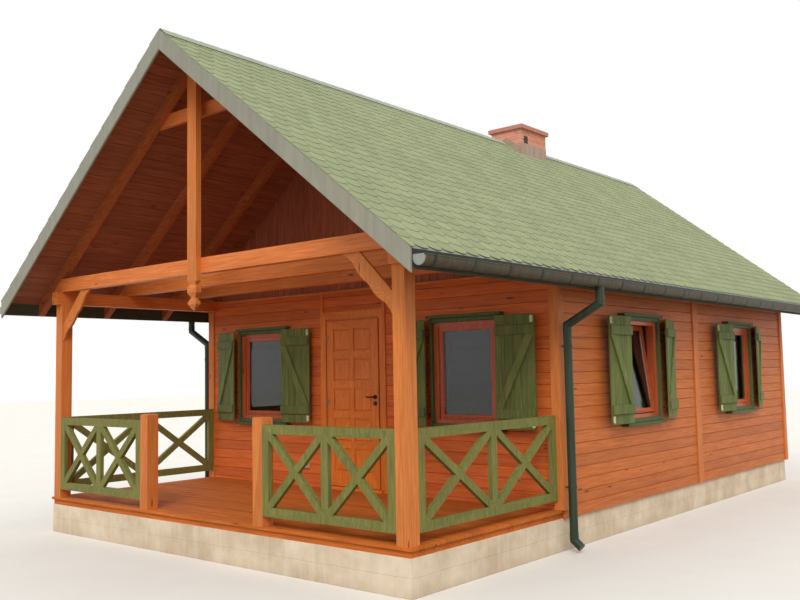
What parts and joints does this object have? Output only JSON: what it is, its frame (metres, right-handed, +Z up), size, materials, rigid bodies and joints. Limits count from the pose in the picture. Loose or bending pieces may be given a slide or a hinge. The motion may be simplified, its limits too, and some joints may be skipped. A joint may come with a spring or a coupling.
{
  "type": "log cabin",
  "caption": "Timber cabin with log siding, a steep gable roof, an open front porch with cross-braced railings, a panelled door and hinged plank shutters.",
  "frame": {"origin": "on the ground under the middle of the roof, midway between its ends and sides", "axes": "+X across the front to the right when facing it, +Y from the porch to the back along the ridge, +Z up"},
  "size_m": [6.6406, 10.54, 5.5],
  "materials": {
    "concrete": "cast concrete with formwork marks",
    "deck_timber": "stained, worn",
    "wall_core": "stained, satin",
    "stained_siding": "orange stain, satin",
    "stained_timber": "light orange stain, satin",
    "light_green_paint": "translucent green stain",
    "green_shingle": "granular, matt",
    "grey_green_board": "painted, matt",
    "salmon_brick": "brick, matt",
    "chimney_capping": "cast, matt",
    "taupe_sheet": "matt sheet",
    "dark_sheet": "satin sheet",
    "dark_green_sheet": "satin sheet",
    "door_timber": "varnished",
    "dark_metal": "satin",
    "zinc_metal": "zinc plated",
    "red_brown_window": "varnished",
    "clear_glass": "clear",
    "dark_green_paint": "translucent dark green stain"
  },
  "bodies": {
    "house": {"back_siding": "stained_siding", "back_wall": "wall_core", "bargeboards": "grey_green_board", "chimney_cap": "chimney_capping", "chimney_flashing": "taupe_sheet", "chimney_stack": "salmon_brick", "collar_tie": "stained_timber", "corner_trims": "stained_siding", "door_frame": "door_timber", "door_hinge_seats": "zinc_metal", "downpipes": "dark_green_sheet", "fascias": "stained_timber", "fixed_shutters": "dark_green_paint", "foundation_cross_walls": "concrete", "foundation_side_walls": "concrete", "front_siding": "stained_siding", "front_wall_left": "wall_core", "front_wall_over_door": "wall_core", "front_wall_right": "wall_core", "front_wall_under_door": "wall_core", "gable_walls": "stained_siding", "gutters": "dark_sheet", "house_floor": "deck_timber", "king_post": "stained_timber", "knee_braces": "stained_timber", "left_wall": "wall_core", "porch_deck": "deck_timber", "porch_posts": "stained_timber", "porch_rim": "deck_timber", "rafters": "stained_timber", "railing_front_left": "light_green_paint", "railing_front_right": "light_green_paint", "railing_left": "light_green_paint", "railing_right": "light_green_paint", "ridge_cap": "green_shingle", "right_wall": "wall_core", "roof_left": "green_shingle", "roof_right": "green_shingle", "side_siding": "stained_siding", "tie_beams": "stained_timber", "wall_plates": "stained_timber", "window_casings": "dark_green_paint", "window_frames": "red_brown_window", "window_glass": "clear_glass", "window_sashes": "red_brown_window"},
    "entrance_door": {"door_leaf": "door_timber", "door_handle": "dark_metal", "door_hinge_leaves": "zinc_metal"},
    "shutter_front_left_outer_leaf": {"shutter_front_left_outer": "dark_green_paint"},
    "shutter_front_left_inner_leaf": {"shutter_front_left_inner": "dark_green_paint"},
    "shutter_front_right_outer_leaf": {"shutter_front_right_outer": "dark_green_paint"},
    "shutter_front_right_inner_leaf": {"shutter_front_right_inner": "dark_green_paint"},
    "shutter_right_fore_near_leaf": {"shutter_right_fore_near": "dark_green_paint"},
    "shutter_right_fore_far_leaf": {"shutter_right_fore_far": "dark_green_paint"},
    "shutter_right_aft_near_leaf": {"shutter_right_aft_near": "dark_green_paint"},
    "shutter_right_aft_far_leaf": {"shutter_right_aft_far": "dark_green_paint"}
  },
  "joints": [
    {"name": "entrance_door_hinge", "type": "hinge", "parent": "house", "child": "entrance_door", "pos_m": [-0.471, -2.488, 1.4], "axis": [0, 0, -1], "range_deg": [0, 110]},
    {"name": "front_left_outer_hinge", "type": "hinge", "parent": "house", "child": "shutter_front_left_outer_leaf", "pos_m": [-2.112, -2.5753, 1.787], "axis": [0, 0, 1], "range_deg": [0, 193]},
    {"name": "front_left_inner_hinge", "type": "hinge", "parent": "house", "child": "shutter_front_left_inner_leaf", "pos_m": [-1.18, -2.5753, 1.787], "axis": [0, 0, -1], "range_deg": [0, 187]},
    {"name": "front_right_outer_hinge", "type": "hinge", "parent": "house", "child": "shutter_front_right_outer_leaf", "pos_m": [2.112, -2.5753, 1.787], "axis": [0, 0, -1], "range_deg": [0, 184]},
    {"name": "front_right_inner_hinge", "type": "hinge", "parent": "house", "child": "shutter_front_right_inner_leaf", "pos_m": [1.18, -2.5753, 1.787], "axis": [0, 0, 1], "range_deg": [0, 187]},
    {"name": "right_fore_near_hinge", "type": "hinge", "parent": "house", "child": "shutter_right_fore_near_leaf", "pos_m": [2.9033, -1.10348, 1.787], "axis": [0, 0, 1], "range_deg": [0, 183.5]},
    {"name": "right_fore_far_hinge", "type": "hinge", "parent": "house", "child": "shutter_right_fore_far_leaf", "pos_m": [2.9033, -0.17148, 1.787], "axis": [0, 0, -1], "range_deg": [0, 193]},
    {"name": "right_aft_near_hinge", "type": "hinge", "parent": "house", "child": "shutter_right_aft_near_leaf", "pos_m": [2.9033, 2.03003, 1.787], "axis": [0, 0, 1], "range_deg": [0, 186]},
    {"name": "right_aft_far_hinge", "type": "hinge", "parent": "house", "child": "shutter_right_aft_far_leaf", "pos_m": [2.9033, 2.96203, 1.787], "axis": [0, 0, -1], "range_deg": [0, 194]}
  ]
}
